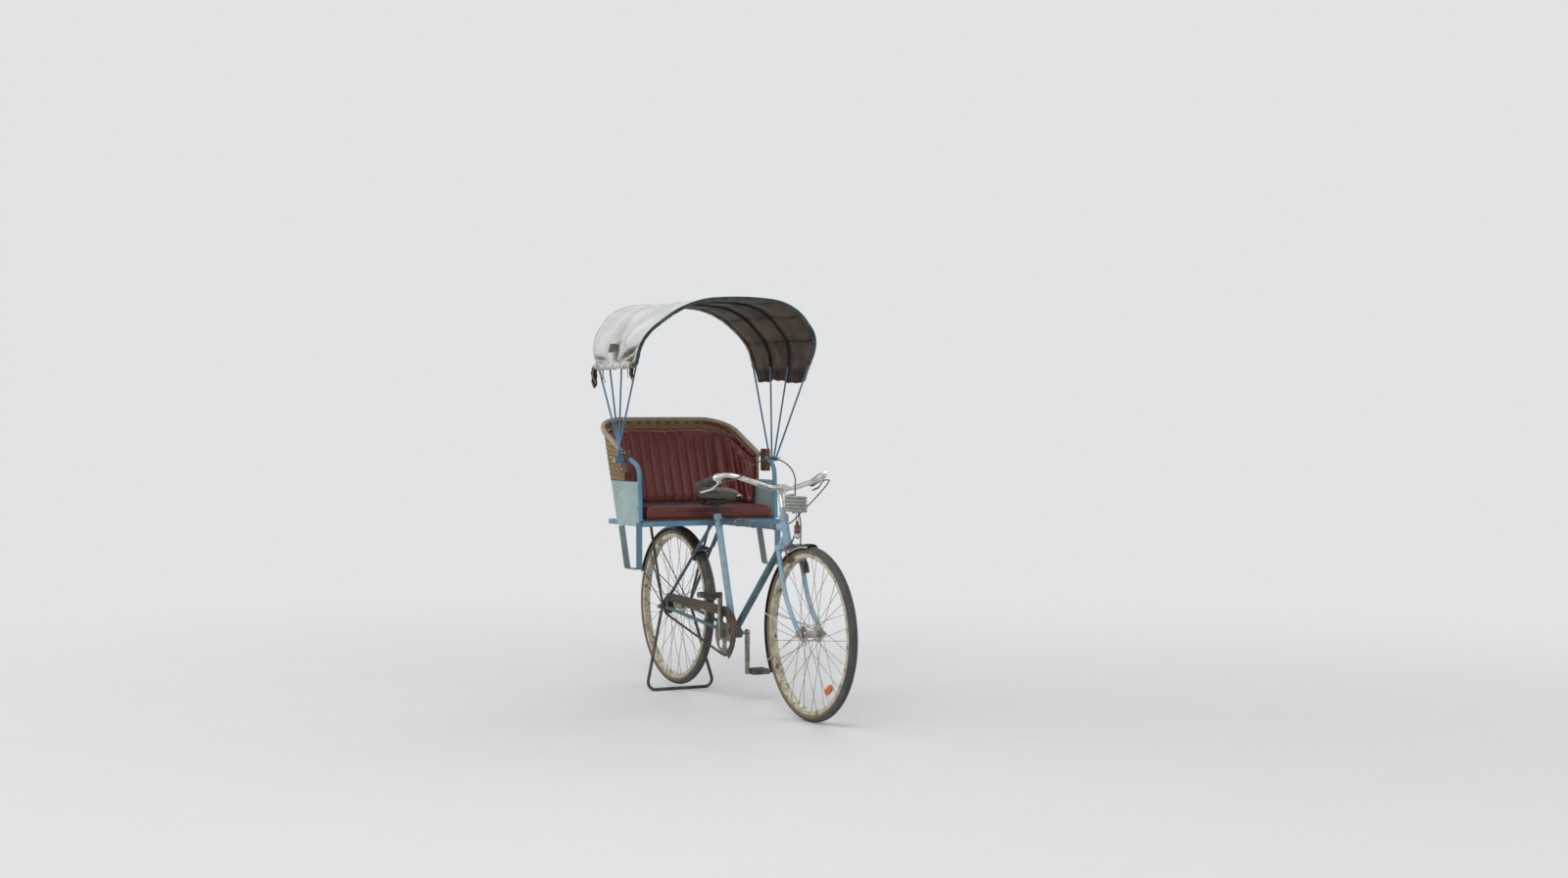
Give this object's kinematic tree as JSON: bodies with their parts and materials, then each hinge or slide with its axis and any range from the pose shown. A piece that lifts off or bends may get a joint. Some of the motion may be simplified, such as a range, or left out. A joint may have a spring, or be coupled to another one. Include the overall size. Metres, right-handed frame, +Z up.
{
  "type": "cycle rickshaw",
  "caption": "Two-wheeled cycle rickshaw: a roadster bicycle with a passenger seat and a folding canvas hood over the rear wheel, parked on its stand.",
  "frame": {"origin": "On the floor below the middle of the parked machine's length and width.", "axes": "+X forward, +Y to the rider's left, +Z up."},
  "size_m": [1.9449, 0.8592, 1.7446],
  "materials": {
    "light_blue_paint": "worn light blue paint",
    "teal_paint": "worn dark teal blue paint",
    "seat_blue_paint": "worn mid blue paint",
    "pale_green_paint": "scuffed pale blue-green paint",
    "black_steel": "worn black enamel",
    "rusty_guard": "brown paint with rust",
    "chain_steel": "oily dark steel",
    "olive_steel": "dull olive grey metal",
    "crank_steel": "dull plated steel with rust",
    "chrome": "worn chrome",
    "rusty_bronze": "bronze-brown rusted plating",
    "hub_steel": "dull silver",
    "rim_silver": "silver with cream dust and rust",
    "tyre": "grey-black with tan sidewalls",
    "grip_rubber": "dark grip rubber",
    "saddle_leather": "dark worn leather",
    "red_vinyl": "burgundy vinyl",
    "cane": "woven straw and cane",
    "cream_rail": "cream paint, chipped",
    "brown_wood": "brown wood",
    "grey_sleeve": "pale grey sleeve",
    "dark_red": "dark red shell",
    "black_sleeve": "black cable sleeve",
    "silver_canvas": "silver-grey coated canvas, dark brown below"
  },
  "bodies": {
    "frame": {"head_tube": "light_blue_paint", "top_tube": "teal_paint", "down_tube": "teal_paint", "seat_tube": "light_blue_paint", "bottom_bracket": "teal_paint", "chain_stays": "teal_paint", "seat_stays": "teal_paint", "rear_axle": "crank_steel", "saddle": "saddle_leather", "saddle_frame": "black_steel", "rear_mudguard": "black_steel", "chain_guard": "rusty_guard", "chain": "chain_steel", "seat_struts": "black_steel", "seat_frame": "seat_blue_paint", "stirrups": "pale_green_paint", "seat_board": "brown_wood", "seat_cushion": "red_vinyl", "metal_body": "pale_green_paint", "cane_back": "cane", "back_pad": "red_vinyl", "back_rim": "cream_rail", "armrests": "seat_blue_paint", "pivot_blocks": "brown_wood", "hood_pins": "crank_steel", "rear_brake": "rusty_bronze", "rear_cable": "black_sleeve"},
    "steering": {"fork": "light_blue_paint", "front_axle": "crank_steel", "stem": "chrome", "handlebar": "chrome", "grips": "grip_rubber", "brake_levers": "chrome", "front_mudguard": "black_steel", "front_brake": "rusty_bronze", "cable_loops": "black_sleeve", "ring_lock": "grey_sleeve", "lamp": "dark_red", "dynamo": "black_steel"},
    "front_wheel": {"front_tyre": "tyre", "front_rim": "rim_silver", "front_hub": "hub_steel", "front_spokes": "hub_steel"},
    "rear_wheel": {"rear_tyre": "tyre", "rear_rim": "rim_silver", "rear_hub": "hub_steel", "rear_spokes": "hub_steel", "sprocket": "chain_steel"},
    "crank": {"crankset": "crank_steel", "chainwheel": "olive_steel"},
    "pedal_left": {"pedal_left": "grip_rubber"},
    "pedal_right": {"pedal_right": "grip_rubber"},
    "rear_stand": {"rear_stand": "black_steel"},
    "hoop_1": {"hoop_1": "seat_blue_paint", "canvas_1": "silver_canvas"},
    "hoop_2": {"hoop_2": "seat_blue_paint", "canvas_2": "silver_canvas"},
    "hoop_3": {"hoop_3": "seat_blue_paint", "canvas_3": "silver_canvas"},
    "hoop_4": {"hoop_4": "seat_blue_paint"}
  },
  "joints": [
    {"name": "steer", "type": "hinge", "parent": "frame", "child": "steering", "pos_m": [0.55301, 0, 0.33342], "axis": [-0.3173, 0, 0.9483], "range_deg": [-45, 45], "deforming": ["cable_loops"]},
    {"name": "front_wheel_spin", "type": "hinge", "parent": "steering", "child": "front_wheel", "pos_m": [0.6175, 0, 0.355], "axis": [0, 1, 0], "continuous": true},
    {"name": "rear_wheel_spin", "type": "hinge", "parent": "frame", "child": "rear_wheel", "pos_m": [-0.6175, 0, 0.377], "axis": [0, 1, 0], "continuous": true},
    {"name": "crank_spin", "type": "hinge", "parent": "frame", "child": "crank", "pos_m": [-0.0575, 0, 0.3], "axis": [0, 1, 0], "continuous": true},
    {"name": "pedal_left_spin", "type": "hinge", "parent": "crank", "child": "pedal_left", "pos_m": [-0.0575, 0.12, 0.13], "axis": [0, 1, 0], "continuous": true},
    {"name": "pedal_right_spin", "type": "hinge", "parent": "crank", "child": "pedal_right", "pos_m": [-0.0575, -0.12, 0.47], "axis": [0, 1, 0], "continuous": true},
    {"name": "stand_swing", "type": "hinge", "parent": "frame", "child": "rear_stand", "pos_m": [-0.6175, 0, 0.377], "axis": [0, 1, 0], "range_deg": [0, 110]},
    {"name": "hood_fold", "type": "hinge", "parent": "frame", "child": "hoop_1", "pos_m": [-0.4055, 0, 1.042], "axis": [0, -1, 0], "range_deg": [0, 66], "deforming": ["canvas_1"]},
    {"name": "hood_close_2", "type": "hinge", "parent": "hoop_1", "child": "hoop_2", "pos_m": [-0.4055, 0, 1.042], "axis": [0, -1, 0], "range_deg": [0, 14.5], "deforming": ["canvas_2"]},
    {"name": "hood_close_3", "type": "hinge", "parent": "hoop_2", "child": "hoop_3", "pos_m": [-0.4055, 0, 1.042], "axis": [0, -1, 0], "range_deg": [0, 16.5], "deforming": ["canvas_3"]},
    {"name": "hood_close_4", "type": "hinge", "parent": "hoop_3", "child": "hoop_4", "pos_m": [-0.4055, 0, 1.042], "axis": [0, -1, 0], "range_deg": [0, 16.5]}
  ],
  "couplings": [
    {"joint": "hood_close_2", "follows": "hood_fold", "ratio": 0.2197},
    {"joint": "hood_close_3", "follows": "hood_fold", "ratio": 0.25},
    {"joint": "hood_close_4", "follows": "hood_fold", "ratio": 0.25}
  ]
}
